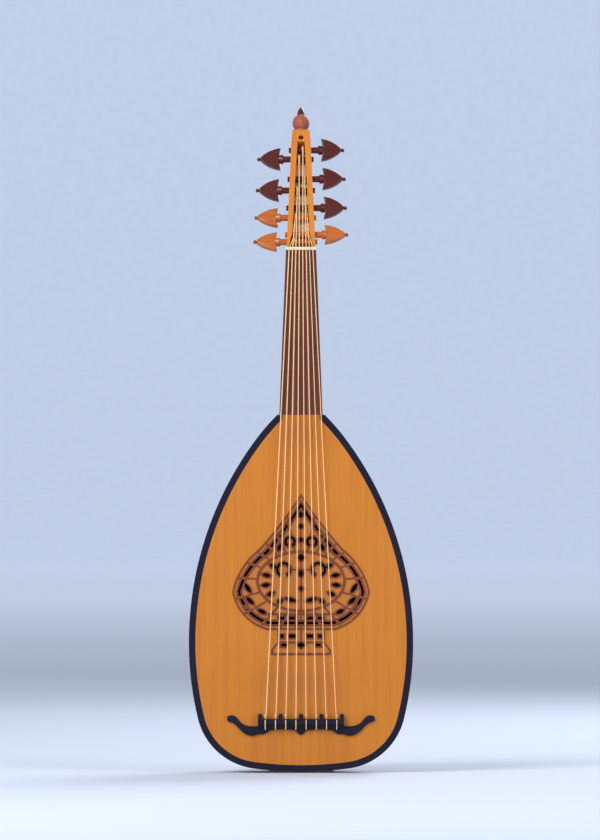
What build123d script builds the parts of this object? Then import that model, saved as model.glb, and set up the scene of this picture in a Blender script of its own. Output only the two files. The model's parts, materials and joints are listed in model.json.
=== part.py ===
from build123d import *
from math import asin, acos, atan2, cos, degrees, hypot, radians, sin, tan
import os

# A North African oud with four double courses, built up from its separate pieces.
#
# Millimetres. The instrument is upright: +Z runs up the neck, the strings face -Y and +X is to the
# right of somebody who looks at the strings. The origin is on the front of the neck at the nut line,
# where a hanger holds the instrument. Heights are counted from the soundboard's front face towards
# the strings, so a height is -Y.

# ---- Driving dimensions ----------------------------------------------------------------------------

# Neck and strings
scale_length = 610.0            # nut's upper edge to bridge
neck_length = 213.0             # nut to body joint
nut_half_width = 19.5           # of the neck
joint_half_width = 28.0         # of the neck
joint_depth = 32.5              # of the neck
fingerboard_thickness = 4.0
nut_thickness = 4.0
nut_height = 2.6
nut_string_span = 30.4
bridge_string_span = 92.4
nut_string_height = 2.3
bridge_string_height = 6.0
string_diameters = [1.4, 1.4, 1.3, 1.3, 1.2, 1.2, 1.1, 1.1]    # bass to treble, left to right
nut_bend_radius = 4.0
groove_clearance = 0.03
tenon = (22.0, 14.0, 20.0)      # width, depth and length of the neck's tenon
tenon_start = 8.0               # behind the front face

# Body outline: arcs that meet tangentially, from the widest place up to the neck and down to the tail
body_half_width = 145.0
widest_z = -507.0
flank_radius, flank_turn = 440.0, 36.0
shoulder_radius = 300.0
hip_radius, hip_turn = 420.0, 13.6
corner_radius, corner_turn = 85.0, 82.0

# Body shell
rib_count = 11
rib_thickness = 3.0
rib_line_width = 1.0
rib_tail_radius = 8.0           # the ribs stop this far from the bowl's axis
clasp_radius, clasp_thickness, clasp_gap = 42.0, 1.5, 0.02
board_thickness = 2.2
binding_width = 8.5
tongue_half_width, tongue_length = 24.0, 25.0      # soundboard between the binding's upper ends
lining_outer, lining_inner, lining_depth = 2.0, 9.4, 8.0
block_gap = 0.8                 # glue line between the blocks and the ribs' flat insides
tail_block_radius, tail_block_height = 45.0, 24.0
# Clear of the leaves cut in the rosette
brace_places = [-274.0, -303.0, -366.0, -461.5, -536.0, -582.0, -634.0]
brace_width, brace_depth, brace_end_inset = 6.0, 12.0, 9.8

# Rosette: places are distances from the centre line and Z
rosette_tip_z, rosette_widest_z, rosette_bottom_z = -315.0, -442.0, -491.0
rosette_half_width = 89.0
rosette_shoulder = (54.0, -386.0)           # where the dome's sides begin to bulge
rosette_bottom_half_width = 44.0
outer_band, outer_line = 7.2, 2.4            # band along the outline, and the raised line on each side of it
slot_width, inner_band = 3.4, 2.6
ring_z, ring_half_width, ring_half_height, ring_width = -428.0, 58.0, 40.0, 3.4
spoke_angles = [-84.0, -66.0, -48.0, -30.0, -15.0, 3.0, 19.0, 34.0, 47.0, 62.0, 78.0]
spoke_width, slot_spacing = 2.2, 3.4        # raised spokes, and panel left between two slots
foot_half_width, foot_height, foot_flare = 31.0, 25.5, 9.5
base_half_width, base_height = 38.5, 7.0
rim_width = 1.8                 # raised edge round each opening
leaf_half_width = 2.6
scroll_slot_width = 3.1
fretwork_thickness = 0.8

# Bridge
bridge_front_z = nut_thickness - scale_length
bridge_depth = 14.0             # front to back, along Z
bridge_half_width = 55.5
bridge_height = 9.5
bridge_top_depth = 6.0          # flat top, before the back slopes down
bridge_back_height = 2.5
bridge_end_drop, bridge_bump_drop = 5.8, 6.4        # of the lower edge, at the ends and in the middle
bridge_bump_half_width = 6.0
bridge_hole_clearance = 0.1
nub_width, nub_length, nub_height = 5.0, 6.5, 6.5
moustache_thickness = 2.4
moustache_upper = [(68.0, -615.0), (76.5, -611.5), (83.5, -603.8), (92.0, -601.5)]      # outwards
moustache_end = (95.5, -605.5)
moustache_lower = [(92.0, -609.8), (84.5, -613.5), (77.0, -621.5), (67.0, -627.2)]      # inwards

# Pegbox
lean = 30.0                     # backwards from the neck, degrees
pegbox_length = 160.0           # along its front face, up to the head block
head_length = 18.0
pegbox_depth_nut, pegbox_depth_top = 21.0, 17.0
pegbox_back_thickness = 3.5
cheek_outer_nut, cheek_outer_top = 18.6, 12.6       # half widths
cheek_inner_nut, cheek_inner_mid, cheek_inner_top = 16.3, 11.3, 4.6
cheek_flare_end = 22.0          # the flare next to the nut stops here
inlay_radius, inlay_depth, inlay_place = 3.2, 0.8, 166.0

# Pegs: height of each axis above the nut, from the nut upwards
left_peg_heights = [10.5, 42.0, 78.0, 119.0]
right_peg_heights = [20.0, 55.0, 93.0, 131.0]
left_peg_turns = [-14.0, -11.0, 12.0, 8.0]
right_peg_turns = [-12.0, 10.0, 6.0, 12.0]
peg_depth_nut, peg_depth_top = 10.5, 8.5            # of the axes below the pegbox's front face
peg_tip_radius, peg_taper = 3.5, 1 / 60             # shaft radius at its small end, and its growth
peg_stub = 3.0
peg_clearance = 0.06
head_gap = 12.0                 # between the cheek and the peg's head
head_leaf_length, head_leaf_half_width, head_leaf_thickness = 27.0, 15.0, 7.5
head_button_radius = 2.6
winding_places = [8.8, 6.8, 4.8, 2.5]               # off the centre line, from the nut upwards
winding_turns = 3
winding_gap = 0.15
wrap_angle = 70.0               # of the string over its winding

# ---- Reference planes and small helpers ------------------------------------------------------------

FRONT = Plane(origin=(0, 0, 0), x_dir=(1, 0, 0), z_dir=(0, -1, 0))
PEGBOX = Plane(
    origin=(0, 0, nut_thickness),
    x_dir=(1, 0, 0),
    z_dir=(0, -cos(radians(lean)), sin(radians(lean))),
)
BOWL_AXIS = Axis((0, board_thickness, 0), (0, 0, 1))
joint_z = -neck_length
string_count = len(string_diameters)


def closed(*lines):
    """Face bounded by the given lines, in the XY plane."""
    return make_face([edge for line in lines for edge in line.edges()])


def polygon(*corners):
    """Face with straight sides, in the XY plane."""
    return closed(Polyline(*corners, close=True))


def both_sides(shape):
    """The shape and its mirror image in the instrument's centre plane."""
    return shape + mirror(shape, about=Plane.YZ)


def plate(sketch, low, high, plane=FRONT):
    """Flat piece with the sketch's outline, between two heights over a plane."""
    return extrude(plane.offset(low) * sketch, amount=high - low, dir=plane.z_dir)


def between(start, end, share):
    """Straight-line value at a share of the way."""
    return start + (end - start) * share


def polar(centre, radius, angle):
    """Point on a circle in the outline's plane; the angle is counted from +X."""
    return (centre[0] + radius * cos(radians(angle)), centre[1] + radius * sin(radians(angle)))


def arc(centre, radius, start, end):
    """Circular arc in the outline's plane between two angles."""
    return ThreePointArc(
        polar(centre, radius, start),
        polar(centre, radius, (start + end) / 2),
        polar(centre, radius, end),
    )


# ---- Body outline ----------------------------------------------------------------------------------
# Each arc's centre lies on the radius that it shares with its neighbour, so the arcs are tangent.
# Insets keep the centres and shorten the radii.

flank_centre = (body_half_width - flank_radius, widest_z)
shoulder_centre = polar(flank_centre, flank_radius - shoulder_radius, flank_turn)
hip_centre = (body_half_width - hip_radius, widest_z)
corner_centre = polar(hip_centre, hip_radius - corner_radius, -hip_turn)
tail_radius = corner_radius + corner_centre[0] / cos(radians(corner_turn))
tail_centre = polar(corner_centre, corner_radius - tail_radius, -corner_turn)


def shoulder_arc(inset):
    """Outline between the neck joint and the flank."""
    radius = shoulder_radius - inset
    top = degrees(asin((joint_z - shoulder_centre[1]) / radius))
    return arc(shoulder_centre, radius, top, flank_turn)


def tail_arc(inset, start_x, end_x):
    """Outline across the tail between two distances from the centre line."""
    radius = tail_radius - inset
    return arc(tail_centre, radius, -degrees(acos(start_x / radius)), -degrees(acos(end_x / radius)))


def tail_start(inset):
    """Distance from the centre line where the corner arc meets the tail arc."""
    return (tail_radius - inset) * cos(radians(corner_turn))


def flanks(inset):
    """Outline from the shoulder to the tail."""
    return [
        arc(flank_centre, flank_radius - inset, flank_turn, 0),
        arc(hip_centre, hip_radius - inset, 0, -hip_turn),
        arc(corner_centre, corner_radius - inset, -hip_turn, -corner_turn),
    ]


def half_outline(inset, end_x):
    """One side of the outline, from the neck joint to end_x at the tail."""
    return [shoulder_arc(inset), *flanks(inset), tail_arc(inset, tail_start(inset), end_x)]


def outline_strip(lines_outer, lines_inner):
    """Face between two runs of outline, closed by straight ends."""
    ends = [Line(lines_outer[0] @ 0, lines_inner[0] @ 0), Line(lines_outer[-1] @ 1, lines_inner[-1] @ 1)]
    return closed(*lines_outer, *lines_inner, *ends)


def body_face(inset):
    """Whole body outline, moved inwards by inset."""
    side = half_outline(inset, 0)
    tail = side[-1] @ 1
    half = closed(*side, Line(tail, (0, joint_z)), Line((0, joint_z), side[0] @ 0))
    return both_sides(half)


# ---- Bowl ------------------------------------------------------------------------------------------

def bowl_plane(angle, shift=0.0):
    """Plane through the bowl's axis at an angle from the soundboard, moved sideways by shift."""
    outwards = Vector(cos(radians(angle)), sin(radians(angle)), 0)
    sideways = Vector(-outwards.Y, outwards.X, 0)
    return Plane(origin=Vector(0, board_thickness, 0) + sideways * shift, x_dir=outwards, z_dir=-sideways)


def bowl_strip():
    """Section of the bowl's shell on one of its planes."""
    return outline_strip(half_outline(0, rib_tail_radius), half_outline(rib_thickness, rib_tail_radius))


def rib(number):
    """Bent rib, flat across, between two planes through the bowl's axis."""
    step = 180 / rib_count
    low_shift = rib_line_width / 2 if number > 0 else 0
    high_shift = -rib_line_width / 2 if number < rib_count - 1 else 0
    sides = [
        bowl_plane(number * step, low_shift) * bowl_strip(),
        bowl_plane((number + 1) * step, high_shift) * bowl_strip(),
    ]
    return loft(sides, ruled=True)


def rib_line(number):
    """Thin strip between two ribs."""
    plane = bowl_plane(number * 180 / rib_count)
    return extrude(plane * bowl_strip(), amount=rib_line_width / 2, both=True)


def half_turned(profile):
    """Half-round solid behind the soundboard, from a profile at one side of the bowl's axis."""
    return revolve(bowl_plane(0) * profile, axis=BOWL_AXIS, revolution_arc=180)


def tail_clasp():
    """Cap over the ribs' lower ends."""
    outer = [tail_arc(-clasp_thickness, clasp_radius, 0)]
    inner = [tail_arc(-clasp_gap, clasp_radius, 0)]
    return half_turned(outline_strip(outer, inner))


def neck_block():
    """Solid block behind the neck joint, with the mortise for the neck's tenon."""
    side = shoulder_arc(rib_thickness + block_gap)
    low = side @ 1
    profile = closed(side, Polyline(low, (0, low.Y), (0, joint_z), side @ 0))
    return half_turned(profile) - neck_tenon()


def tail_block():
    """Block inside the bowl that the ribs are glued to at the tail."""
    low = tail_arc(rib_thickness + block_gap, tail_block_radius, 0)
    top = (low @ 1).Y + tail_block_height
    profile = closed(low, Polyline(low @ 1, (0, top), (tail_block_radius, top), low @ 0))
    return half_turned(profile)


def edge_linings(end_ribs):
    """Strips in the corner between the soundboard and the outermost ribs."""
    end_x = tail_block_radius + lining_inner
    strips = []
    for inset in (lining_outer, lining_inner):
        strips.append([*flanks(inset), tail_arc(inset, tail_start(inset), end_x)])
    lining = plate(outline_strip(*strips), -board_thickness - lining_depth, -board_thickness)
    return [lining - end_ribs[0], mirror(lining, about=Plane.YZ) - end_ribs[1]]


# ---- Soundboard ------------------------------------------------------------------------------------

def tongue():
    """Upper end of the soundboard, between the ends of the binding."""
    low = joint_z - tongue_length
    return polygon(
        (-tongue_half_width, low), (tongue_half_width, low),
        (tongue_half_width, joint_z), (-tongue_half_width, joint_z),
    )


def edge_binding():
    """Dark band let in round the soundboard's edge."""
    return plate(body_face(0) - body_face(binding_width) - tongue(), -board_thickness, 0)


def soundboard_halves():
    """Left and right half of the soundboard, joined on the centre line."""
    board = plate(body_face(binding_width) + tongue() - rosette_outline(), -board_thickness, 0)
    left = split(board, bisect_by=Plane.YZ, keep=Keep.BOTTOM)
    right = split(board, bisect_by=Plane.YZ, keep=Keep.TOP)
    return left, right


def brace(place):
    """Bar across the soundboard's back."""
    reach = plate(body_face(brace_end_inset), -board_thickness - brace_depth, -board_thickness)
    return reach & Pos(0, 0, place) * Box(2 * body_half_width, 4 * body_half_width, brace_width)


# ---- Rosette ---------------------------------------------------------------------------------------
# An onion dome on a foot: a pierced panel, with an openwork of bands and rims glued on its face.

foot_bottom_z = rosette_bottom_z - foot_height


def rosette_dome(inset):
    """Dome outline with its pointed top, moved inwards by inset."""
    tip = (0, rosette_tip_z - 1.6 * inset)
    shoulder = (rosette_shoulder[0] - inset, rosette_shoulder[1] - 0.6 * inset)
    widest = (rosette_half_width - inset, rosette_widest_z)
    bottom = (rosette_bottom_half_width - 0.4 * inset, rosette_bottom_z + inset)
    side = [
        ThreePointArc(tip, (0.46 * shoulder[0], between(tip[1], shoulder[1], 0.5)), shoulder),
        ThreePointArc(
            shoulder,
            (between(shoulder[0], widest[0], 0.66), between(shoulder[1], widest[1], 0.46)),
            widest,
        ),
        ThreePointArc(
            widest,
            (between(bottom[0], widest[0], 0.66), between(bottom[1], widest[1], 0.37)),
            bottom,
        ),
    ]
    return both_sides(closed(*side, Polyline(bottom, (0, bottom[1]), tip)))


def rectangle(x_low, x_high, z_low, z_high):
    """Upright rectangle."""
    return polygon((x_low, z_low), (x_high, z_low), (x_high, z_high), (x_low, z_high))


def rosette_foot(inset):
    """Flared foot under the dome, moved inwards by inset."""
    reach, base_reach = foot_half_width - inset, base_half_width - inset
    low = foot_bottom_z - base_height + inset
    half = polygon(
        (0, low), (base_reach, low), (base_reach, foot_bottom_z), (reach, foot_bottom_z + foot_flare),
        (reach, rosette_bottom_z), (0, rosette_bottom_z),
    )
    return both_sides(half)


def rosette_outline():
    """Whole outer shape of the rosette."""
    return rosette_dome(0) + rosette_foot(0)


def circle_at(centre, radius):
    """Disc at a place in the rosette."""
    return Pos(centre[0], centre[1]) * Circle(radius)


def diamond(centre, half_width, half_height):
    """Upright lozenge."""
    x, z = centre
    return polygon((x - half_width, z), (x, z - half_height), (x + half_width, z), (x, z + half_height))


def block(centre, width, height):
    """Level rectangle round its centre."""
    x, z = centre
    return rectangle(x - width / 2, x + width / 2, z - height / 2, z + height / 2)


def leaf(root, point, half_width, grow):
    """Pointed leaf between two places, with its edge moved outwards by grow."""
    slope = degrees(atan2(point[1] - root[1], point[0] - root[0]))
    start, end = polar(root, -1.6 * grow, slope), polar(point, 1.6 * grow, slope)
    middle = ((root[0] + point[0]) / 2, (root[1] + point[1]) / 2)
    left, right = [polar(middle, half_width + grow, slope + turn) for turn in (90, -90)]
    return closed(ThreePointArc(start, left, end), ThreePointArc(end, right, start))


def horseshoe(centre, radius, width, grow):
    """Round slot that is open below, with its edge moved outwards by grow."""
    x, z = centre
    mouth = 0.7 * radius - grow
    opening = polygon((x, z), (x - mouth, z - 1.3 * radius), (x + mouth, z - 1.3 * radius))
    return circle_at(centre, radius + grow) - circle_at(centre, radius - width - grow) - opening


def on_ring(share, angle):
    """Place at a share of the ring's size."""
    x, z = share * ring_half_width * cos(radians(angle)), share * ring_half_height * sin(radians(angle))
    return (x, ring_z + z)


def spoke(angle, width):
    """Straight bar outwards from the ring's centre, on the right-hand side."""
    length = rosette_half_width + outer_band
    return Pos(0, ring_z) * Rot(0, 0, angle) * rectangle(0, 1.3 * length, -width / 2, width / 2)


ring_leaves = [38.0, 14.0, -9.0, -31.0, -54.0]      # angles
axis_diamonds = [(-342.0, 3.4, 5.0), (-357.0, 2.8, 4.2), (-374.5, 2.6, 4.2), (-397.5, 4.8, 5.2),
                 (-418.0, 3.6, 6.0), (-437.5, 2.4, 4.4)]            # Z, half width, half height
dome_leaves = [((73.0, -430.5), (64.5, -443.5)), ((71.0, -448.5), (61.0, -458.0)),
               ((56.0, -464.5), (45.0, -470.0)), ((26.0, -379.5), (29.5, -389.0)),
               ((5.5, -454.0), (21.0, -450.0))]                     # root and point
scrolls = [((14.2, -377.0), 7.4), ((22.6, -413.0), 9.8)]            # centre and radius
blocks = [((12.0, -475.8), 7.5, 4.0), ((25.5, -475.8), 8.0, 4.0), ((11.5, -499.0), 8.5, 4.4),
          ((24.5, -499.0), 4.6, 4.4), ((22.0, -510.5), 7.0, 3.6)]   # centre, width, height
foot_diamond = (-510.5, 6.0, 3.8)


def rosette_shapes(grow):
    """Openings inside the bands, on the right-hand side and the axis, with their edges grown."""
    leaves = [(on_ring(0.89, angle), on_ring(0.7, angle)) for angle in ring_leaves] + dome_leaves
    shapes = [leaf(root, point, leaf_half_width, grow) for root, point in leaves]
    shapes += [horseshoe(centre, radius, scroll_slot_width, grow) for centre, radius in scrolls]
    shapes += [block(centre, width + 2 * grow, height + 2 * grow) for centre, width, height in blocks]
    for z, half_width, half_height in [*axis_diamonds, foot_diamond]:
        shapes.append(diamond((0, z), half_width + 1.3 * grow, half_height + 1.3 * grow))
    return both_sides(Sketch() + shapes)


def rosette_slots():
    """Openings between the dome's two bands, with bridges of panel between them."""
    slots = rosette_dome(outer_band) - rosette_dome(outer_band + slot_width)
    for angle in spoke_angles:
        slots -= both_sides(spoke(angle, slot_spacing))
    return slots


def rosette_panel():
    """Pierced panel that fills the soundboard's opening."""
    return plate(rosette_outline() - rosette_shapes(0) - rosette_slots(), -board_thickness, 0)


def rosette_ring():
    """Oval ring in the dome."""
    inner_half_width, inner_half_height = ring_half_width - ring_width, ring_half_height - ring_width
    oval = Ellipse(ring_half_width, ring_half_height) - Ellipse(inner_half_width, inner_half_height)
    return Pos(0, ring_z) * oval


def rosette_fretwork():
    """Thin openwork glued on the panel's face."""
    inner_inset = outer_band + slot_width
    dome = rosette_dome(0)
    spokes = [both_sides(spoke(angle, spoke_width)) for angle in spoke_angles]
    pattern = (Sketch() + spokes) & dome
    pattern -= Pos(0, ring_z) * Ellipse(ring_half_width - ring_width, ring_half_height - ring_width)
    pattern += dome - rosette_dome(outer_line)
    pattern += rosette_dome(outer_band - outer_line) - rosette_dome(outer_band)
    pattern += rosette_dome(inner_inset) - rosette_dome(inner_inset + inner_band)
    pattern += rosette_ring() + (rosette_foot(0) - rosette_foot(inner_band))
    # Level bars under the ring and across the foot, and the stem that joins them to the tip.
    for reach, z in ((47.0, ring_z - ring_half_height - 2.5), (foot_half_width, foot_bottom_z + foot_flare)):
        pattern += block((0, z), 2 * reach, inner_band)
    pattern += rectangle(-0.9, 0.9, foot_bottom_z, rosette_tip_z - 8.0)
    for centre, radius in scrolls:
        pattern += both_sides(rectangle(0, centre[0] - radius, centre[1] - 0.9, centre[1] + 0.9))
    pattern += rosette_shapes(rim_width)
    return plate(pattern - rosette_shapes(0) - rosette_slots(), 0, fretwork_thickness)


# ---- Neck ------------------------------------------------------------------------------------------

neck_top_depth = pegbox_depth_nut / cos(radians(lean))


def neck_half_width(z):
    """Half width of the neck at a place along it."""
    return between(nut_half_width, joint_half_width, -z / neck_length)


def neck_section(z, depth):
    """Half-oval section behind the fingerboard."""
    reach = neck_half_width(z)
    back = EllipticalCenterArc(
        (0, fingerboard_thickness), reach, depth - fingerboard_thickness, start_angle=0, arc_size=180
    )
    front = Line((-reach, fingerboard_thickness), (reach, fingerboard_thickness))
    return Pos(0, 0, z) * closed(back, front)


def neck_tenon():
    """Tenon that is glued into the neck block."""
    width, depth, length = tenon
    return Pos(0, tenon_start + depth / 2, joint_z - length / 2) * Box(width, depth, length)


def neck():
    """Neck behind the fingerboard, with its tenon."""
    ends = [neck_section(joint_z, joint_depth), neck_section(nut_thickness, neck_top_depth)]
    return loft(ends, ruled=True) + neck_tenon()


def neck_stripe(left_share, right_share):
    """Part of the fingerboard's outline between two shares of its half width."""
    low, high = joint_half_width, nut_half_width
    return polygon(
        (left_share * low, joint_z), (right_share * low, joint_z),
        (right_share * high, 0), (left_share * high, 0),
    )


def fingerboard_inlay():
    """Two strips of lighter wood let into the fingerboard."""
    stripes = [neck_stripe(-0.44, -0.32), neck_stripe(0.32, 0.44)]
    return [plate(stripe, -1.0, 0) for stripe in stripes]


def fingerboard(inlay):
    """Dark board glued on the neck."""
    return plate(neck_stripe(-1, 1), -fingerboard_thickness, 0) - inlay


# ---- Pegs: places and sizes ------------------------------------------------------------------------

def cheek_outer(place):
    """Half width of the pegbox at a place along it."""
    return between(cheek_outer_nut, cheek_outer_top, place / pegbox_length)


def peg_layout():
    """Place, depth, side, turn and winding of each peg, left ones first and from the nut upwards."""
    layout = []
    left, right = (-1, left_peg_heights, left_peg_turns), (1, right_peg_heights, right_peg_turns)
    for side, heights, turns in (left, right):
        for height, turn, winding in zip(heights, turns, winding_places):
            depth = between(peg_depth_nut, peg_depth_top, height / right_peg_heights[-1])
            place = (height - nut_thickness + depth * sin(radians(lean))) / cos(radians(lean))
            layout.append({"side": side, "place": place, "depth": depth, "turn": turn, "winding": winding})
    return layout


def on_peg_axis(peg, shape):
    """Moves a shape made about the X axis, with its head at +X, to the peg's place."""
    if peg["side"] < 0:
        shape = mirror(shape, about=Plane.YZ)
    return PEGBOX.location * Pos(0, peg["place"], -peg["depth"]) * shape


def shaft_radius(peg, x):
    """Radius of the tapered shaft at a distance from the centre plane towards the head."""
    return peg_tip_radius + (x + cheek_outer(peg["place"]) + peg_stub) * peg_taper


def shaft(peg, end_x, extra):
    """Tapered shaft from its small end to end_x, with its radius grown by extra."""
    start_x = -cheek_outer(peg["place"]) - peg_stub
    profile = polygon(
        (start_x, 0), (end_x, 0),
        (end_x, shaft_radius(peg, end_x) + extra), (start_x, shaft_radius(peg, start_x) + extra),
    )
    return revolve(profile, axis=Axis.X)


def peg_leaf(start_x):
    """Leaf-shaped grip of the head."""
    wide, length = head_leaf_half_width, head_leaf_length
    side = ThreePointArc(
        (start_x + 1.2, wide), (start_x + 0.56 * length, 0.72 * wide), (start_x + length, 1.9)
    )
    root = ThreePointArc((start_x + 3.0, 0), (start_x + 2.6, 0.5 * wide), (start_x + 1.2, wide))
    half = closed(side, root, Polyline((start_x + length, 1.9), (start_x + length, 0), (start_x + 3.0, 0)))
    outline = half + mirror(half, about=Plane.XZ)
    grip = Pos(0, 0, -head_leaf_thickness / 2) * extrude(outline, amount=head_leaf_thickness, dir=(0, 0, 1))
    rims = grip.faces().sort_by(Axis.Z)[0].edges() + grip.faces().sort_by(Axis.Z)[-1].edges()
    return fillet(rims, 1.6)


def peg(layout):
    """Tuning peg: tapered shaft, collar, leaf-shaped head and end button."""
    head_x = cheek_outer(layout["place"]) + head_gap
    end_x = head_x + head_leaf_length
    collar = polygon(
        (head_x - 3, 0), (head_x - 3, 5.2), (head_x - 1, 6.4), (head_x + 4, 5.0), (head_x + 4, 0)
    )
    button = Pos(end_x + head_button_radius - 0.4, 0, 0) * Sphere(head_button_radius)
    turned = shaft(layout, head_x + 4, 0) + revolve(collar, axis=Axis.X)
    whole = turned + Rot(layout["turn"], 0, 0) * peg_leaf(head_x) + button
    return on_peg_axis(layout, whole)


def winding(layout, diameter):
    """Turns of string that lie on the peg, side by side."""
    start_x = layout["winding"] - winding_turns * diameter / 2
    base = shaft_radius(layout, layout["winding"]) + diameter / 2
    x_of = [start_x + number * diameter for number in range(winding_turns + 1)]
    turns = []
    for left, right in zip(x_of, x_of[1:]):
        turns.append(ThreePointArc((left, base), ((left + right) / 2, base + diameter / 2), (right, base)))
    # The winding lies towards the head's own side of the centre plane.
    low = Polyline(
        (x_of[0], base), (x_of[0], shaft_radius(layout, x_of[0])),
        (x_of[-1], shaft_radius(layout, x_of[-1])), (x_of[-1], base),
    )
    return on_peg_axis(layout, revolve(closed(*turns, low), axis=Axis.X))


# ---- Pegbox ----------------------------------------------------------------------------------------

def pegbox_depth(place):
    """Depth of the pegbox at a place along it."""
    return between(pegbox_depth_nut, pegbox_depth_top, place / (pegbox_length + head_length))


def pegbox_slab(front, back, start, end):
    """Slab across the pegbox between two depths and two places.

    front and back give a depth at a place. A slab that starts at the nut has a level lower end.
    """
    level = tan(radians(lean)) if start == 0 else 0.0
    profile = polygon(
        (start + level * front(start), -front(start)),
        (end, -front(end)),
        (end, -back(end)),
        (start + level * back(start), -back(start)),
    )
    return extrude(Plane.YZ * profile, amount=cheek_outer_nut + 1, both=True)


def front_face(place):
    """Depth of the pegbox's front face."""
    return 0.0


def trough_floor(place):
    """Depth of the pegbox's inside."""
    return pegbox_depth(place) - pegbox_back_thickness


def pegbox_cheeks(pegs):
    """Left and right side of the pegbox, bored for the tapered peg shafts."""
    plan = polygon(
        (cheek_inner_nut, 0), (cheek_outer_nut, 0), (cheek_outer_top, pegbox_length),
        (cheek_inner_top, pegbox_length), (cheek_inner_mid, cheek_flare_end),
    )
    slab = pegbox_slab(front_face, trough_floor, 0, pegbox_length)
    right = extrude(plan, amount=pegbox_depth_nut, both=True) & slab
    cheeks = []
    for cheek in (mirror(right, about=Plane.YZ), right):
        cheek = PEGBOX.location * cheek
        for layout in pegs:
            end_x = cheek_outer(layout["place"]) + peg_stub
            cheek -= on_peg_axis(layout, shaft(layout, end_x, peg_clearance))
        cheeks.append(cheek)
    return cheeks


def pegbox_back():
    """Flat board that closes the pegbox behind."""
    plan = polygon(
        (-cheek_outer_nut, 0), (cheek_outer_nut, 0),
        (cheek_outer_top, pegbox_length), (-cheek_outer_top, pegbox_length),
    )
    slab = pegbox_slab(trough_floor, pegbox_depth, 0, pegbox_length)
    return PEGBOX.location * (extrude(plan, amount=pegbox_depth_nut, both=True) & slab)


finial_depth = pegbox_depth_top / 2
finial_spigot = (3.0, 8.0)      # radius and length
finial_collar = (8.0, 3.0)
finial_neck_radius, finial_knob_radius, finial_knob_length = 5.5, 11.0, 21.5
finial_tip_radius, finial_tip_length = 5.0, 13.5


def turned_on_head(profile):
    """Turned piece on the pegbox's upper end; the profile's Y is the distance above the head block."""
    turned = revolve(profile, axis=Axis.Y)
    return PEGBOX.location * Pos(0, pegbox_length + head_length, -finial_depth) * turned


def finial_hole():
    """Room for the finial's spigot."""
    radius, length = finial_spigot
    return turned_on_head(polygon((0, -length), (radius, -length), (radius, 0), (0, 0)))


def inlay_disc(low, high):
    """Disc on the head block's front."""
    disc = Pos(0, inlay_place) * Circle(inlay_radius)
    return PEGBOX.location * Pos(0, 0, low) * extrude(disc, amount=high - low, dir=(0, 0, 1))


def pegbox_head():
    """Solid block at the pegbox's upper end."""
    end = pegbox_length + head_length
    reach_end = cheek_outer_top - 1.6
    plan = polygon(
        (-cheek_outer_top, pegbox_length), (cheek_outer_top, pegbox_length),
        (reach_end, end), (-reach_end, end),
    )
    block = extrude(plan, amount=pegbox_depth_nut, both=True)
    block &= pegbox_slab(front_face, pegbox_depth, pegbox_length, end)
    return PEGBOX.location * block - finial_hole() - inlay_disc(-inlay_depth, 1.0)


def finial():
    """Turned knob with its collar and spigot."""
    spigot_radius, spigot_length = finial_spigot
    collar_radius, collar_length = finial_collar
    neck_y = collar_length + 1.2
    top = neck_y + finial_knob_length
    profile = closed(
        Polyline(
            (0, top), (0, -spigot_length), (spigot_radius, -spigot_length), (spigot_radius, 0),
            (collar_radius, 0), (collar_radius, collar_length), (finial_neck_radius, neck_y),
        ),
        ThreePointArc(
            (finial_neck_radius, neck_y),
            (finial_knob_radius, neck_y + 0.42 * finial_knob_length),
            (finial_tip_radius, top),
        ),
        Line((finial_tip_radius, top), (0, top)),
    )
    return turned_on_head(profile)


def finial_tip():
    """Small dark point on the knob."""
    base = finial_collar[1] + 1.2 + finial_knob_length
    top = base + finial_tip_length
    profile = closed(
        Polyline((0, top), (0, base), (finial_tip_radius, base)),
        ThreePointArc(
            (finial_tip_radius, base),
            (0.86 * finial_tip_radius, base + 0.5 * finial_tip_length),
            (1.0, top - 0.6),
        ),
        Line((1.0, top - 0.6), (0, top)),
    )
    return turned_on_head(profile)


# ---- Bridge ----------------------------------------------------------------------------------------

bridge_low_z = bridge_front_z - bridge_depth
bridge_foot_z = bridge_low_z - bridge_end_drop


def bridge_plan():
    """Bridge seen from the front, with its waved lower edge and the bump in the middle."""
    reach, bump = bridge_half_width, bridge_bump_half_width
    wave_start = (reach - 7, bridge_foot_z)
    wave_end = (reach - 15, bridge_low_z - 1.0)
    bump_edge = (bump, bridge_low_z - 1.2)
    bump_tip = (0, bridge_low_z - bridge_bump_drop)
    half = closed(
        Polyline(bump_tip, (0, bridge_front_z), (reach, bridge_front_z), (reach, bridge_foot_z), wave_start),
        ThreePointArc(wave_start, (reach - 11, bridge_foot_z + 1.8), wave_end),
        ThreePointArc(wave_end, (22, bridge_low_z + 0.6), bump_edge),
        ThreePointArc(bump_edge, (0.6 * bump, bridge_low_z - 0.78 * bridge_bump_drop), bump_tip),
    )
    return both_sides(half)


def rod(start, end, radius):
    """Straight round bar between two points."""
    direction = end - start
    return extrude(Plane(origin=start, z_dir=direction) * Circle(radius), amount=direction.length)


def bridge_post(x):
    """Rounded post in front of the bridge, beside a course."""
    low, high = bridge_front_z - 1, bridge_front_z + nub_length
    post = plate(rectangle(x - nub_width / 2, x + nub_width / 2, low, high), 0, nub_height)
    return fillet(post.edges().filter_by(Axis.Y).sort_by(Axis.Z)[-2:], 1.8)


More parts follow.
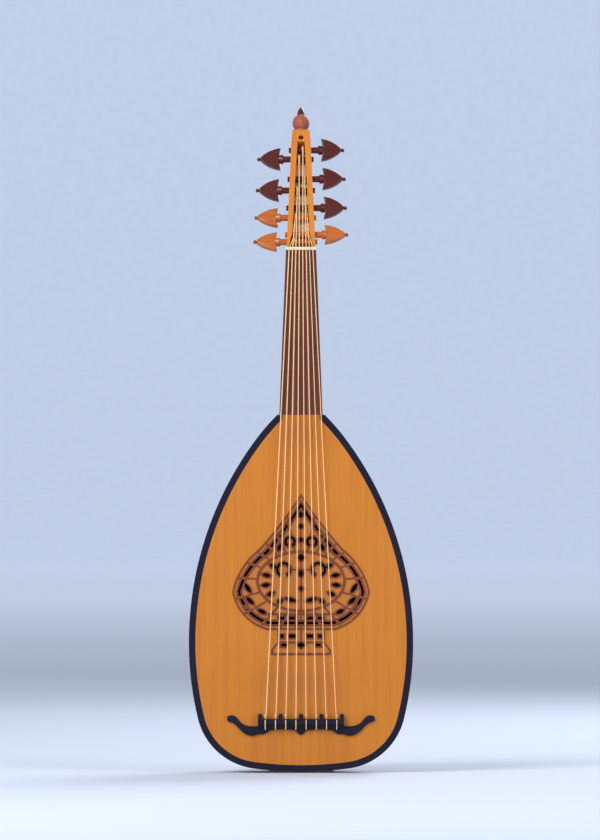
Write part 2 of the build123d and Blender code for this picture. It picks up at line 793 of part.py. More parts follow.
def bridge():
    """Bridge with a level top, a sloping back, a hole for each string and posts between the courses."""
    top_z = bridge_front_z - bridge_top_depth
    lowest_z = bridge_low_z - bridge_bump_drop - 1
    profile = polygon(
        (0, bridge_front_z), (-bridge_height, bridge_front_z), (-bridge_height, top_z),
        (-bridge_back_height, bridge_low_z), (-bridge_back_height + 0.5, lowest_z), (0, lowest_z),
    )
    side_view = extrude(Plane.YZ * profile, amount=bridge_half_width, both=True)
    body = plate(bridge_plan(), 0, bridge_height) & side_view
    course_spacing = 2 * bridge_string_span / (string_count - 1)
    for course_edge in range(-2, 3):
        body += bridge_post(course_edge * course_spacing)
    for number in range(string_count):
        points = string_points(number)
        start, towards_nut = points[3], (points[4] - points[3]).normalized()
        radius = string_diameters[number] / 2 + bridge_hole_clearance
        body -= rod(start, start + towards_nut * 2 * bridge_depth, radius)
    return body


def moustache():
    """Flat curled wing at the bridge's right-hand end."""
    root_top = (bridge_half_width, moustache_upper[0][1])
    root_low = (bridge_half_width, bridge_foot_z)
    plan = closed(
        Spline(root_top, *moustache_upper),
        ThreePointArc(moustache_upper[-1], moustache_end, moustache_lower[0]),
        Spline(*moustache_lower, root_low),
        Line(root_low, root_top),
    )
    return plate(plan, 0, moustache_thickness)


# ---- Nut and strings -------------------------------------------------------------------------------

def nut():
    """Nut with a groove for each string."""
    profile = closed(
        Polyline(
            (1.2 - nut_height, nut_thickness), (fingerboard_thickness, nut_thickness),
            (fingerboard_thickness, 0), (0.8 - nut_height, 0),
        ),
        ThreePointArc(
            (0.8 - nut_height, 0), (-nut_height, nut_thickness / 2), (1.2 - nut_height, nut_thickness)
        ),
    )
    blank = extrude(Plane.YZ * profile, amount=nut_half_width, both=True)
    for number in range(string_count):
        blank -= string(number, groove_clearance)
    return blank


def peg_of_string(number):
    """The outer strings go to the pegs next to the nut, on their own side."""
    half = string_count // 2
    return number if number < half else half + string_count - 1 - number


def string_points(number):
    """Corners of a string's route: the loop over the bridge, the nut and the wrap on its peg."""
    share = number / (string_count - 1) - 0.5
    bridge_x, nut_x = share * bridge_string_span, share * nut_string_span
    over_bridge = bridge_height + string_diameters[number] / 2 + 0.15
    behind = bridge_low_z + 0.6
    loop = [
        (bridge_x, -over_bridge, bridge_front_z - 1.0),
        (bridge_x, -over_bridge, bridge_front_z - bridge_top_depth - 1.0),
        (bridge_x, -bridge_string_height - 2.1, behind),
        (bridge_x, -bridge_string_height, behind),
    ]
    nut_point = Vector(nut_x, -nut_string_height, nut_thickness / 2)
    layout = peg_layout()[peg_of_string(number)]
    radius = wrap_radius(number)
    local = PEGBOX.to_local_coords(nut_point)
    to_peg = (layout["place"] - local.Y, layout["depth"] + local.Z)
    distance = hypot(*to_peg)
    heading = atan2(to_peg[1], to_peg[0]) - asin(radius / distance)
    # The corner of the wrap is where the tangents at its two ends meet.
    reach = distance * cos(asin(radius / distance)) + radius * tan(radians(wrap_angle / 2))
    corner = (local.Y + reach * cos(heading), local.Z - reach * sin(heading))
    leave = heading + radians(wrap_angle)
    tail = radius * tan(radians(wrap_angle / 2)) + 0.6
    end = (corner[0] + tail * cos(leave), corner[1] - tail * sin(leave))
    winding_x = layout["side"] * layout["winding"]
    wrap = [PEGBOX.from_local_coords(Vector(winding_x, y, z)) for y, z in (corner, end)]
    return [Vector(*point) for point in loop] + [nut_point] + wrap


def wrap_radius(number):
    """Radius of a string's centre line where it lies over its winding."""
    layout = peg_layout()[peg_of_string(number)]
    diameter = string_diameters[number]
    return shaft_radius(layout, layout["winding"]) + 1.5 * diameter + winding_gap


def string(number, extra=0.0):
    """String as a round tube along its route, grown by extra."""
    radii = [3.0, 1.1, 1.1, nut_bend_radius, wrap_radius(number)]
    route = FilletPolyline(*string_points(number), radius=radii)
    section = Plane(origin=route @ 0, z_dir=route % 0) * Circle(string_diameters[number] / 2 + extra)
    return sweep(section, path=route)


# ---- The whole instrument --------------------------------------------------------------------------

def build_nodes():
    """Every piece by its name; a list is a group of separate solids."""
    pegs = peg_layout()
    ribs = [rib(number) for number in range(rib_count)]
    inlay = fingerboard_inlay()
    board_left, board_right = soundboard_halves()
    cheek_left, cheek_right = pegbox_cheeks(pegs)
    wing = moustache()
    nodes = {f"rib_{number + 1:02d}": piece for number, piece in enumerate(ribs)}
    nodes.update({
        "rib_lines": [rib_line(number) for number in range(1, rib_count)],
        "tail_clasp": tail_clasp(),
        "neck_block": neck_block(),
        "tail_block": tail_block(),
        "edge_linings": edge_linings((ribs[0], ribs[-1])),
        "edge_binding": edge_binding(),
        "soundboard_left": board_left,
        "soundboard_right": board_right,
        "braces": [brace(place) for place in brace_places],
        "rosette_panel": rosette_panel(),
        "rosette_fretwork": rosette_fretwork(),
        "bridge": bridge(),
        "moustache_left": mirror(wing, about=Plane.YZ),
        "moustache_right": wing,
        "neck": neck(),
        "fingerboard": fingerboard(inlay),
        "fingerboard_inlay": inlay,
        "nut": nut(),
        "pegbox_cheek_left": cheek_left,
        "pegbox_cheek_right": cheek_right,
        "pegbox_back": pegbox_back(),
        "pegbox_head": pegbox_head(),
        "head_inlay": inlay_disc(-inlay_depth, 0.2),
        "finial": finial(),
        "finial_tip": finial_tip(),
    })
    for number in range(string_count):
        layout = pegs[peg_of_string(number)]
        nodes[f"string_{number + 1}"] = string(number)
        nodes[f"peg_{number + 1}"] = peg(layout)
        nodes[f"winding_{number + 1}"] = winding(layout, string_diameters[number])
    return nodes


def as_one(piece):
    """A single shape for a node, whether it is one solid or a group."""
    parts = piece if isinstance(piece, list) else [piece]
    solids = [solid for part in parts for solid in part.solids()]
    return solids[0] if len(solids) == 1 else Compound(children=solids)


os.makedirs("parts", exist_ok=True)
for name, piece in build_nodes().items():
    export_step(as_one(piece), f"parts/{name}.step")
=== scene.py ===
"""An oud with four double courses: materials, fine pieces and studio around its CAD frame."""
import json
from math import cos, pi, radians, sin

import bpy
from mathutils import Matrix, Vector


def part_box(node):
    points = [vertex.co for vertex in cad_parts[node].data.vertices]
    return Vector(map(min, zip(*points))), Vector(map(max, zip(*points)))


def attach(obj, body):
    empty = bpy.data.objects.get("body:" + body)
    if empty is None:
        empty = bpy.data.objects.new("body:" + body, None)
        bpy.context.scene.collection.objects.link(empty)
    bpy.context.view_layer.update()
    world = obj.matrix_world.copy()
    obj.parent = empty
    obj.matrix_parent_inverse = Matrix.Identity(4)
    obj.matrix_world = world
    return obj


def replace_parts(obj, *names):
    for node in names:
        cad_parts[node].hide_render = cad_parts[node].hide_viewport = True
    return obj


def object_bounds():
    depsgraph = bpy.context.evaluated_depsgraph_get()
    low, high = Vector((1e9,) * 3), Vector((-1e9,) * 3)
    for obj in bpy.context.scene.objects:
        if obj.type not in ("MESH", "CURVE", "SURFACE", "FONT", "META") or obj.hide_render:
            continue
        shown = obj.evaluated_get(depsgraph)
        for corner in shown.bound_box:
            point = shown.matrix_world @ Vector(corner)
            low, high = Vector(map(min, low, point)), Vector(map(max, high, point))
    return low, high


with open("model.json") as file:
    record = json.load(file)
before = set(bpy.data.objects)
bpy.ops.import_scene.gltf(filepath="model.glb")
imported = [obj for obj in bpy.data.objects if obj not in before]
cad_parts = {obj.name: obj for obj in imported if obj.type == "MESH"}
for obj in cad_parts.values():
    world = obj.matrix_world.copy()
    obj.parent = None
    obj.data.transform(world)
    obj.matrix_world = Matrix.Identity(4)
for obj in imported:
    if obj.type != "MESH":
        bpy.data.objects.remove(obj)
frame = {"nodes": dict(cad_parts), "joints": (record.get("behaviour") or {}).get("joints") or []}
cad_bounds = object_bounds()

NODES = frame["nodes"]
JOINTS = {joint["name"]: joint for joint in frame["joints"]}
PEG_COUNT = 8
# pegs whose wood is made lighter, a painted highlight on the lit pegs
PAINTED_HIGHLIGHT_PEGS = (1, 2, 8)
RIB_COUNT = 11
PEGBOX_LEAN = radians(30)       # backwards from the neck
WINDING_TURNS = 3
BRIDGE_FRONT_Z, NUT_MIDDLE_Z = -0.606, 0.002
STRING_TAPER = 30.4 / 92.4      # spread of the strings at the nut, over that at the bridge
BRIDGE_STRING_Y, NUT_STRING_Y = -0.006, -0.0023     # the strings' centre lines
THICKEST_STRING, COURSE_STEP = 0.0014, 0.0001       # each course is one step thinner than the last


# ---- Colours ---------------------------------------------------------------------------------------

def srgb(red, green, blue):
    """Linear colour from the 0 to 255 values of a picture."""
    linear = []
    for value in (red, green, blue):
        share = value / 255
        linear.append(share / 12.92 if share <= 0.04045 else ((share + 0.055) / 1.055) ** 2.4)
    return (*linear, 1.0)


def shaded(colour, share):
    """The colour made lighter or darker."""
    return (*(share * value for value in colour[:3]), 1.0)


# ---- Node trees ------------------------------------------------------------------------------------

# How often a pattern varies in a metre: across the growth rings, along them and along the fibres.
RING_WANDER = (26, 26, 3.2)
FIBRES = (1500, 1500, 26)
STRIPES = (150, 30, 2.6)
CLOUDS = (16, 16, 7)
PORES = (1100, 1100, 42)
SMUDGES = (34, 34, 22)
WEAR_RAGS = (60, 60, 24)
WOOD_RELIEF = 0.00006           # height of the grain in metres


class Graph:
    """One material's node tree, built by short calls."""

    def __init__(self, name, roughness=0.4, coat=0.0, coat_roughness=0.1):
        self.material = bpy.data.materials.new(name)
        self.material.use_nodes = True
        self.tree = self.material.node_tree
        self.shader = self.tree.nodes["Principled BSDF"]
        self.shader.inputs["Roughness"].default_value = roughness
        self.shader.inputs["Coat Weight"].default_value = coat
        self.shader.inputs["Coat Roughness"].default_value = coat_roughness

    def add(self, kind, inputs=(), **settings):
        """New node; inputs are values or sockets in the order of its sockets, None to leave one."""
        node = self.tree.nodes.new(kind)
        for name, value in settings.items():
            setattr(node, name, value)
        for socket, value in zip(node.inputs, inputs):
            self.feed(socket, value)
        return node

    def feed(self, socket, value):
        """Links a socket or sets its value."""
        if isinstance(value, bpy.types.NodeSocket):
            self.tree.links.new(value, socket)
        elif value is not None:
            socket.default_value = value

    def set(self, name, value):
        """Feeds one of the shader's inputs."""
        self.feed(self.shader.inputs[name], value)

    def math(self, operation, first, second=None, clamp=False):
        """Sum, product and so on of two numbers."""
        return self.add("ShaderNodeMath", (first, second), operation=operation, use_clamp=clamp).outputs[0]

    def noise(self, vector, scale, detail=2.0, roughness=0.5):
        """Cloudy number between 0 and 1."""
        node = self.add("ShaderNodeTexNoise")
        self.feed(node.inputs["Vector"], vector)
        self.feed(node.inputs["Scale"], scale)
        self.feed(node.inputs["Detail"], detail)
        self.feed(node.inputs["Roughness"], roughness)
        return node.outputs["Fac"]

    def stretch(self, vector, x, y, z):
        """The vector with each axis scaled."""
        node = self.add("ShaderNodeVectorMath", (vector, (x, y, z)), operation="MULTIPLY")
        return node.outputs[0]

    def swing(self, value, reach):
        """A number from 0 to 1, turned into one that swings evenly about zero."""
        return self.math("MULTIPLY", self.math("SUBTRACT", value, 0.5), reach)

    def ramp(self, value, *stops):
        """Number that follows straight lines between (place, value) stops."""
        node = self.add("ShaderNodeValToRGB", (value,))
        elements = node.color_ramp.elements
        while len(elements) < len(stops):
            elements.new(0.5)
        for element, (place, level) in zip(elements, stops):
            element.position = place
            element.color = (level, level, level, 1)
        return node.outputs["Color"]

    def mix(self, share, first, second):
        """Colour between two colours."""
        node = self.add("ShaderNodeMix", data_type="RGBA")
        # The mix node also has sockets for numbers and vectors; these are its colour sockets.
        first_socket, second_socket, result_socket = 6, 7, 2
        self.feed(node.inputs["Factor"], share)
        self.feed(node.inputs[first_socket], first)
        self.feed(node.inputs[second_socket], second)
        return node.outputs[result_socket]

    def grain_coordinates(self, rotation, seed, mirrored):
        """Object coordinates with X across the growth rings and Z along the fibres, and that X alone.

        The seed moves each board to timber of its own; mirrored boards match at the centre line.
        """
        place = self.add("ShaderNodeTexCoord").outputs["Object"]
        turned = self.add("ShaderNodeMapping", (place, None, rotation)).outputs[0]
        axes = self.add("ShaderNodeSeparateXYZ", (turned,))
        across = self.math("ABSOLUTE", axes.outputs[0]) if mirrored else axes.outputs[0]
        steps = zip((across, axes.outputs[1], axes.outputs[2]), (0.37, 0.61, 0.83))
        shifted = [self.math("ADD", axis, seed * step) for axis, step in steps]
        return self.add("ShaderNodeCombineXYZ", shifted).outputs[0], shifted[0]

    def worn(self, colour, centre, reach, worn_colour, amount):
        """The colour with a ragged worn patch of another colour round a place."""
        place = self.add("ShaderNodeTexCoord").outputs["Object"]
        offset = self.add("ShaderNodeVectorMath", (place, centre), operation="SUBTRACT").outputs[0]
        spread = self.stretch(offset, *(1 / size for size in reach))
        distance = self.add("ShaderNodeVectorMath", (spread,), operation="LENGTH").outputs["Value"]
        rags = self.noise(self.stretch(place, *WEAR_RAGS), 1.0, 4.0, 0.65)
        ragged = self.math("ADD", distance, rags)
        patch = self.ramp(self.math("MULTIPLY", ragged, 0.5), (0.25, 1.0), (0.8, 0.0))
        return self.mix(self.math("MULTIPLY", patch, amount), colour, worn_colour)

    def bump(self, height, distance):
        """Surface relief in metres."""
        node = self.add("ShaderNodeBump")
        self.feed(node.inputs["Height"], height)
        node.inputs["Distance"].default_value = distance
        node.inputs["Strength"].default_value = 1.0
        self.set("Normal", node.outputs[0])


def wood(name, light, dark, ring=0.0016, ring_share=0.5, pores=0.0, stripe=0.35, roughness=0.4, coat=0.3,
         specular=0.35, rotation=(0, 0, 0), seed=0.0, mirrored=False, wear=()):
    """Timber: growth rings across X, fibres and pores along Z, broad tone stripes and handling marks.

    Each wear is a worn patch: its centre, its reach, its colour and how strong it is.
    """
    graph = Graph(name, roughness, coat, 0.18)
    graph.set("Specular IOR Level", specular)
    place, across = graph.grain_coordinates(rotation, seed, mirrored)
    late = growth_rings(graph, place, across, ring)
    fibre = graph.noise(graph.stretch(place, *FIBRES), 1.0, 3.0, 0.6)
    colour = graph.mix(wood_depth(graph, place, late, fibre, ring_share, stripe), light, dark)
    height = graph.math("ADD", graph.math("MULTIPLY", late, -0.5), graph.math("MULTIPLY", fibre, 0.6))
    if pores:
        speck = graph.noise(graph.stretch(place, *PORES), 1.0, 1.0)
        pore = graph.math("MULTIPLY", graph.ramp(speck, (0.0, 0.0), (0.6, 0.0), (0.68, 1.0)), pores)
        colour = graph.mix(pore, colour, shaded(dark, 0.35))
        height = graph.math("SUBTRACT", height, pore)
    for centre, reach, worn_colour, amount in wear:
        colour = graph.worn(colour, centre, reach, worn_colour, amount)
    graph.set("Base Color", colour)
    wood_sheen(graph, place, late, roughness)
    graph.bump(height, WOOD_RELIEF)
    return graph.material


def growth_rings(graph, place, across, ring):
    """Number that rises to 1 in the late wood of each ring; the rings wander a little."""
    wander = graph.noise(graph.stretch(place, *RING_WANDER), 1.0, 2.0)
    bent = graph.math("ADD", across, graph.math("MULTIPLY", wander, 0.02))
    phase = graph.math("FRACT", graph.math("DIVIDE", bent, ring))
    return graph.ramp(phase, (0.0, 0.0), (0.55, 0.18), (0.9, 1.0), (1.0, 0.05))


def wood_depth(graph, place, late, fibre, ring_share, stripe):
    """How dark the timber is from place to place, 0 to 1."""
    broad = graph.noise(graph.stretch(place, *STRIPES), 1.0, 3.0, 0.6)
    cloud = graph.noise(graph.stretch(place, *CLOUDS), 1.0, 2.0)
    fine = graph.math("ADD", graph.math("MULTIPLY", late, ring_share), graph.swing(fibre, 0.5))
    wide = graph.math("ADD", graph.swing(broad, 2.4 * stripe), graph.swing(cloud, 0.5))
    return graph.math("ADD", fine, wide, clamp=True)


def wood_sheen(graph, place, late, roughness):
    """Smudged roughness, a little duller in the late wood."""
    smudge_share = 0.22
    smudge = graph.noise(graph.stretch(place, *SMUDGES), 1.0, 3.0)
    smudged = graph.math("MULTIPLY", smudge, smudge_share)
    sheen = graph.math("ADD", smudged, roughness - smudge_share / 2)
    graph.set("Roughness", graph.math("ADD", sheen, graph.math("MULTIPLY", late, 0.06)))


def gut(name, colour):
    """Slightly translucent string gut with its twist and uneven tone."""
    graph = Graph(name, 0.34, 0.1, 0.25)
    place = graph.add("ShaderNodeTexCoord").outputs["Object"]
    tone = graph.noise(graph.stretch(place, 260, 260, 90), 1.0, 3.0)
    graph.set("Base Color", graph.mix(tone, colour, shaded(colour, 0.8)))
    graph.set("Subsurface Weight", 0.15)
    graph.set("Subsurface Scale", 0.0006)
    turn_along, turn_across = 2600.0, 900.0     # radians of twist in a metre
    axes = graph.add("ShaderNodeSeparateXYZ", (place,))
    across = graph.math("MULTIPLY", graph.math("ADD", axes.outputs[0], axes.outputs[1]), turn_across)
    along = graph.math("MULTIPLY", axes.outputs[2], turn_along)
    graph.bump(graph.math("SINE", graph.math("ADD", along, across)), 0.00003)
    return graph.material


def bone(name):
    """Polished bone with its pale streaks."""
    graph = Graph(name, 0.3, 0.15, 0.1)
    place = graph.add("ShaderNodeTexCoord").outputs["Object"]
    streak = graph.noise(graph.stretch(place, 120, 900, 900), 1.0, 3.0)
    graph.set("Base Color", graph.mix(streak, srgb(238, 226, 200), srgb(205, 185, 148)))
    graph.set("Subsurface Weight", 0.2)
    graph.set("Subsurface Scale", 0.001)
    graph.bump(streak, 0.00002)
    return graph.material


# ---- Materials of this instrument ------------------------------------------------------------------

TOP_LIGHT, TOP_DARK = srgb(200, 121, 30), srgb(154, 80, 16)
WALNUT_LIGHT, WALNUT_DARK = srgb(116, 60, 30), srgb(48, 22, 12)
NAVY_LIGHT, NAVY_DARK = srgb(21, 16, 38), srgb(5, 4, 14)
LEANING = (PEGBOX_LEAN, 0, 0)
LENGTHWISE_X = (0, -pi / 2, 0)


def paint(material, *names):
    """Gives CAD nodes one material."""
    for name in names:
        slots = NODES[name].data.materials
        slots.clear()
        slots.append(material)


def paint_body():
    """Soundboard, rosette, binding, bridge and what is inside, the inside darkened with painted shade."""
    strummed = ((0.0, 0.0, -0.56), (0.075, 0.02, 0.035), srgb(160, 96, 38), 0.5)
    rubbed = ((0.0, 0.0, -0.235), (0.05, 0.02, 0.03), srgb(150, 86, 34), 0.45)
    top = wood("oud_top", TOP_LIGHT, TOP_DARK, ring=0.0019, ring_share=0.42, stripe=0.42, roughness=0.48,
               coat=0.06, mirrored=True, wear=(strummed, rubbed))
    paint(top, "soundboard_left", "soundboard_right")
    panel = wood("rosette_panel_wood", srgb(192, 115, 40), srgb(148, 77, 22), ring=0.0019, ring_share=0.4,
                 roughness=0.55, coat=0.05, seed=0.4)
    paint(panel, "rosette_panel")
    fret = wood("rosette_wood", srgb(122, 58, 27), srgb(74, 29, 12), ring=0.0012, ring_share=0.3,
                pores=0.3, roughness=0.5, coat=0.1, seed=0.9)
    paint(fret, "rosette_fretwork")
    dark_wood = {"ring": 0.0011, "ring_share": 0.4, "pores": 0.4, "roughness": 0.42, "coat": 0.05,
                 "specular": 0.22}
    navy = wood("binding_wood", NAVY_LIGHT, NAVY_DARK, seed=1.7, **dark_wood)
    paint(navy, "edge_binding")
    ebony = wood("bridge_wood", NAVY_LIGHT, NAVY_DARK, rotation=LENGTHWISE_X, seed=2.1, **dark_wood)
    paint(ebony, "bridge", "moustache_left", "moustache_right")
    # the inner wood is darkened as painted shade, as if it lay in the shadow inside the body
    shade_darkened_inner = wood("inner_wood", srgb(132, 94, 56), srgb(88, 58, 32), ring=0.002, ring_share=0.4,
                 roughness=0.6, coat=0.0, rotation=LENGTHWISE_X, seed=2.9)
    paint(shade_darkened_inner, "neck_block", "tail_block", "edge_linings", "braces")


def paint_bowl():
    """Ribs, each from its own board, the lines between them and the clasp."""
    for number in range(RIB_COUNT):
        middle = pi * (number + 0.5) / RIB_COUNT
        light = shaded(WALNUT_LIGHT, 1.0 + 0.16 * sin(2.4 * number + 0.7))
        rib = wood(f"rib_wood_{number + 1:02d}", light, WALNUT_DARK, ring=0.0034, ring_share=0.35,
                   pores=0.45, stripe=0.5, roughness=0.36, coat=0.35, rotation=(0, 0, pi / 2 - middle),
                   seed=number + 3.0)
        paint(rib, f"rib_{number + 1:02d}")
    line = wood("rib_line_wood", srgb(206, 160, 96), srgb(170, 120, 64), roughness=0.38, coat=0.35,
                seed=15.0)
    paint(line, "rib_lines")
    clasp = wood("clasp_wood", WALNUT_LIGHT, WALNUT_DARK, ring=0.003, pores=0.45, roughness=0.36,
                 coat=0.35, rotation=LENGTHWISE_X, seed=16.0)
    paint(clasp, "tail_clasp")


def paint_neck():
    """Neck, fingerboard, its stripes and the nut."""
    thumbed = ((0.0, 0.03, -0.05), (0.03, 0.03, 0.06), srgb(134, 78, 44), 0.5)
    back = wood("neck_wood", WALNUT_LIGHT, WALNUT_DARK, ring=0.0036, ring_share=0.35, pores=0.4, stripe=0.4,
                roughness=0.38, coat=0.3, seed=17.0, wear=(thumbed,))
    paint(back, "neck")
    fingered = ((0.0, 0.0, -0.07), (0.02, 0.02, 0.05), srgb(120, 70, 52), 0.45)
    board = wood("fingerboard_wood", srgb(104, 50, 36), srgb(46, 17, 13), ring=0.0046, ring_share=0.4,
                 pores=0.5, stripe=0.75, roughness=0.42, coat=0.08, seed=18.0, wear=(fingered,))
    paint(board, "fingerboard")
    stripe = wood("stripe_wood", srgb(146, 90, 66), srgb(102, 56, 40), ring=0.0012, roughness=0.44,
                  coat=0.08, seed=19.0)
    paint(stripe, "fingerboard_inlay")
    paint(bone("nut_bone"), "nut")


def painted_highlight_peg_wood():
    """Warm wood made lighter as a painted highlight, dark at the button on each peg's end."""
    tip_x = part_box("peg_1")[0].x
    dark_button = [((side * tip_x, 0.0, 0.0), (0.007, 1.0, 1.0), srgb(50, 18, 12), 1.0) for side in (-1, 1)]
    return wood("painted_highlight_peg_wood", srgb(190, 100, 34), srgb(104, 44, 14), ring=0.0016, ring_share=0.45,
                pores=0.3, roughness=0.34, coat=0.35, rotation=LENGTHWISE_X, seed=24.0, wear=dark_button)


def paint_pegbox():
    """Pegbox, its inlay, finial and pegs."""
    cheek = wood("pegbox_wood", srgb(206, 124, 38), srgb(146, 74, 20), ring=0.0021, ring_share=0.4,
                 pores=0.15, roughness=0.4, coat=0.2, rotation=LEANING, seed=20.0)
    paint(cheek, "pegbox_cheek_left", "pegbox_cheek_right", "pegbox_head")
    back = wood("pegbox_back_wood", srgb(232, 206, 170), srgb(200, 164, 122), ring=0.0024, ring_share=0.3,
                roughness=0.42, coat=0.2, rotation=LEANING, seed=21.0)
    paint(back, "pegbox_back")
    knob = wood("finial_wood", srgb(168, 96, 72), srgb(92, 42, 32), ring=0.0019, pores=0.2, roughness=0.5,
                coat=0.0, specular=0.2, rotation=LEANING, seed=22.0)
    paint(knob, "finial")
    dark = wood("dark_peg_wood", srgb(84, 20, 12), srgb(30, 6, 6), ring=0.0016, ring_share=0.45, pores=0.4,
                roughness=0.32, coat=0.25, specular=0.3, rotation=LENGTHWISE_X, seed=23.0)
    paint(dark, "finial_tip", "head_inlay")
    # a lighter copy of the peg wood, a painted highlight, for the lit pegs
    light = painted_highlight_peg_wood()
    for number in range(1, PEG_COUNT + 1):
        paint(light if number in PAINTED_HIGHLIGHT_PEGS else dark, f"peg_{number}")


def soften(width, *names):
    """Rounds the sharp edges of CAD nodes a little."""
    for name in names:
        weld = NODES[name].modifiers.new("weld", "WELD")
        weld.merge_threshold = 0.000001
        bevel = NODES[name].modifiers.new("bevel", "BEVEL")
        bevel.width = width
        bevel.segments = 2
        bevel.limit_method = "ANGLE"
        bevel.angle_limit = radians(35)
        bevel.harden_normals = True


def soften_edges():
    """Handled edges are never knife-sharp."""
    soften(0.0006, "bridge", "moustache_left", "moustache_right", "pegbox_head", "nut")
    soften(0.0005, "pegbox_cheek_left", "pegbox_cheek_right", "pegbox_back", "finial")


# ---- Strings ---------------------------------------------------------------------------------------

def mesh_object(name, vertices, faces):
    """Smoothly shaded object from its corners and faces."""
    mesh = bpy.data.meshes.new(name)
    mesh.from_pydata(vertices, [], faces)
    for polygon in mesh.polygons:
        polygon.use_smooth = True
    item = bpy.data.objects.new(name, mesh)
    bpy.context.scene.collection.objects.link(item)
    return item


def tube(name, route, radius):
    """Round closed tube along a list of points."""
    sides = 10
    vertices, faces = [], []
    for index, point in enumerate(route):
        ahead = route[min(index + 1, len(route) - 1)] - route[max(index - 1, 0)]
        turn = ahead.to_track_quat("Z", "Y")
        for side in range(sides):
            angle = 2 * pi * side / sides
            vertices.append(point + turn @ Vector((radius * cos(angle), radius * sin(angle), 0)))
    for ring in range(len(route) - 1):
        for side in range(sides):
            after = (side + 1) % sides
            low, high = ring * sides, (ring + 1) * sides
            faces.append((low + side, low + after, high + after, high + side))
    faces.append(tuple(reversed(range(sides))))
    faces.append(tuple(range(len(vertices) - sides, len(vertices))))
    return mesh_object(name, vertices, faces)


def coil(name, centre, axis, across, radius, length, turns, thickness):
    """Tube wound round an axis, from the centre of its first turn."""
    steps_in_a_turn = 24
    up = axis.cross(across)
    route = []
    steps = round(turns * steps_in_a_turn)
    for step in range(steps + 1):
        angle = 2 * pi * turns * step / steps
        around = across * (radius * cos(angle)) + up * (radius * sin(angle))
        route.append(centre + axis * (length * step / steps) + around)
    return tube(name, route, thickness / 2)


def string_ends(number):
    """Where a string leaves the bridge and where it meets the nut, and its thickness."""
    thickness = THICKEST_STRING - COURSE_STEP * ((number - 1) // 2)
    low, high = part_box(f"string_{number}")
    bridge_x = low.x + thickness / 2 if number <= PEG_COUNT // 2 else high.x - thickness / 2
    nut_x = bridge_x * STRING_TAPER
    at_bridge = Vector((bridge_x, BRIDGE_STRING_Y, BRIDGE_FRONT_Z))
    return at_bridge, Vector((nut_x, NUT_STRING_Y, NUT_MIDDLE_Z)), thickness


def turns_on_peg(number):
    """The string's turns, in place of the plain winding, from the winding's measures."""
    thickness = string_ends(number)[2]
    low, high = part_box(f"winding_{number}")
    axis_place = Vector(JOINTS[f"peg_{number}_turn"]["pos_m"])
    first = Vector((low.x + thickness / 2, axis_place.y, axis_place.z))
    radius = (high.z - low.z - thickness) / 2
    length = high.x - low.x - thickness
    turns = coil(f"string_turns_{number}", first, Vector((1, 0, 0)), Vector((0, 1, 0)), radius, length,
                 WINDING_TURNS - 0.1, thickness)
    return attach(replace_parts(turns, f"winding_{number}"), f"tuning_peg_{number}")


def knot_at_bridge(number):
    """The turns of the knot that ties the string, just in front of the bridge."""
    start, end, thickness = string_ends(number)
    gap, knot_turns = 0.0022, 3.5
    knot_radius, knot_length, cord = 0.85 * thickness, 3.2 * thickness, 0.75 * thickness
    towards_nut = (end - start).normalized()
    across = towards_nut.cross(Vector((0, 1, 0))).normalized()
    knot = coil(f"string_knot_{number}", start + towards_nut * gap, towards_nut, across, knot_radius,
                knot_length, knot_turns, cord)
    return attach(knot, "instrument")


def make_strings():
    """Gut for the strings, their turns and their knots."""
    gut_material = gut("string_gut", srgb(252, 208, 148))
    for number in range(1, PEG_COUNT + 1):
        paint(gut_material, f"string_{number}")
        for piece in (turns_on_peg(number), knot_at_bridge(number)):
            piece.data.materials.append(gut_material)


# ---- Studio ----------------------------------------------------------------------------------------

def studio_paper(rim):
    """Pale mottled paper that glows a little towards the rim, which the lamps don't reach."""
    graph = Graph("studio_paper", 0.85)
    place = graph.add("ShaderNodeTexCoord").outputs["Object"]
    tone = graph.noise(place, 40.0, 3.0)
    paper = graph.mix(tone, srgb(205, 214, 230), srgb(198, 208, 225))
    graph.set("Base Color", paper)
    distance = graph.add("ShaderNodeVectorMath", (place,), operation="LENGTH").outputs["Value"]
    glow = graph.ramp(graph.math("DIVIDE", distance, rim), (0.1, 0.0), (0.6, 1.0))
    graph.set("Emission Color", paper)
    graph.set("Emission Strength", graph.math("MULTIPLY", glow, 0.42))
    return graph.material


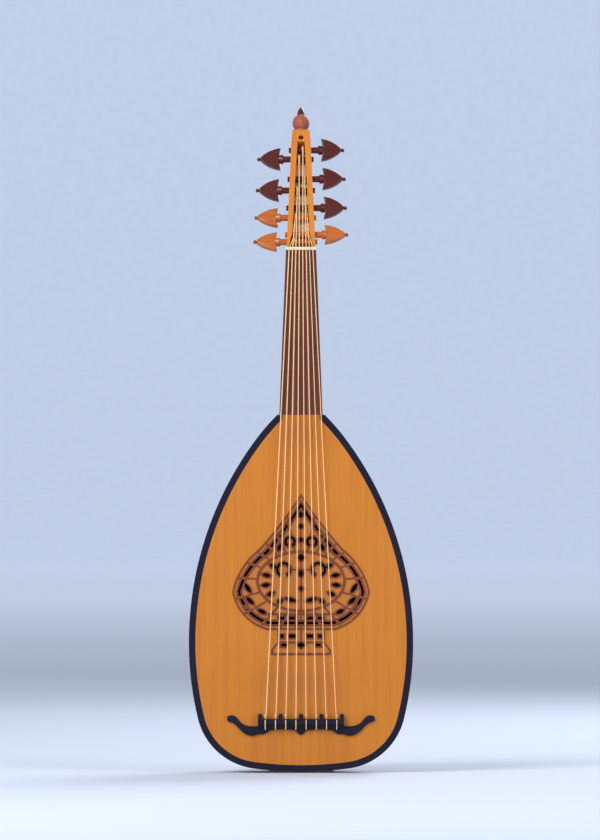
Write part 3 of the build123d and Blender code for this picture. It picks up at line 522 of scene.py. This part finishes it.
def studio_bowl(level):
    """Round pale floor whose far edge bends up all round, so that it reads the same from every side."""
    reach, bend, wall, sectors, bend_steps = 17.0, 3.0, 2.0, 96, 12
    profile = [(0.5, level), (2.0, level), (6.0, level), (reach, level)]
    for step in range(1, bend_steps + 1):
        angle = pi / 2 * step / bend_steps
        profile.append((reach + bend * sin(angle), level + bend * (1 - cos(angle))))
    profile.append((reach + bend, level + bend + wall))
    vertices, faces = [(0, 0, level)], []
    for radius, z in profile:
        for sector in range(sectors):
            angle = 2 * pi * sector / sectors
            vertices.append((radius * cos(angle), radius * sin(angle), z))
    for sector in range(sectors):
        after = (sector + 1) % sectors
        faces.append((0, 1 + sector, 1 + after))
        for ring in range(len(profile) - 1):
            low, high = 1 + ring * sectors, 1 + (ring + 1) * sectors
            faces.append((low + sector, high + sector, high + after, low + after))
    floor = mesh_object("studio_floor", vertices, faces)
    floor.data.materials.append(studio_paper(reach + bend))


def area_light(name, place, target, size, power, colour=(1, 1, 1)):
    """Soft square lamp that faces the target."""
    light = bpy.data.lights.new(name, "AREA")
    light.size = size
    light.energy = power
    light.color = colour
    lamp = bpy.data.objects.new(name, light)
    lamp.location = place
    lamp.rotation_euler = (Vector(target) - Vector(place)).to_track_quat("-Z", "Y").to_euler()
    bpy.context.scene.collection.objects.link(lamp)


def light_studio(centre):
    """Large soft lamps and an even pale surround."""
    x, y, z = centre
    area_light("key_lamp", (x - 1.7, y - 2.1, z + 1.8), centre, 1.4, 78, (1.0, 0.97, 0.93))
    area_light("fill_lamp", (x + 2.3, y - 2.1, z + 1.2), centre, 1.8, 34, (0.93, 0.96, 1.0))
    area_light("back_lamp", (x + 1.4, y + 2.2, z + 1.7), centre, 1.6, 60)
    world = bpy.data.worlds.new("studio_world")
    world.use_nodes = True
    surround = world.node_tree.nodes["Background"]
    surround.inputs["Color"].default_value = (0.86, 0.9, 1.0, 1.0)
    surround.inputs["Strength"].default_value = 0.5
    bpy.context.scene.world = world


def place_camera():
    """Long lens, straight from the front, with the whole instrument upright in the frame."""
    view_height, centre_x, centre_z, lens = 1.0856, -0.0013, -0.2197, 420.0
    camera = bpy.data.cameras.new("camera")
    camera.lens = lens
    camera.sensor_width = 36.0
    holder = bpy.data.objects.new("camera", camera)
    holder.location = (centre_x, -view_height * lens / camera.sensor_width, centre_z)
    holder.rotation_euler = (pi / 2, 0, 0)
    bpy.context.scene.collection.objects.link(holder)
    bpy.context.scene.camera = holder


paint_body()
paint_bowl()
paint_neck()
paint_pegbox()
make_strings()
soften_edges()
low, high = cad_bounds
studio_bowl(low[2])
light_studio(tuple((low[axis] + high[axis]) / 2 for axis in range(3)))
place_camera()
bpy.context.scene.view_settings.view_transform = "Standard"
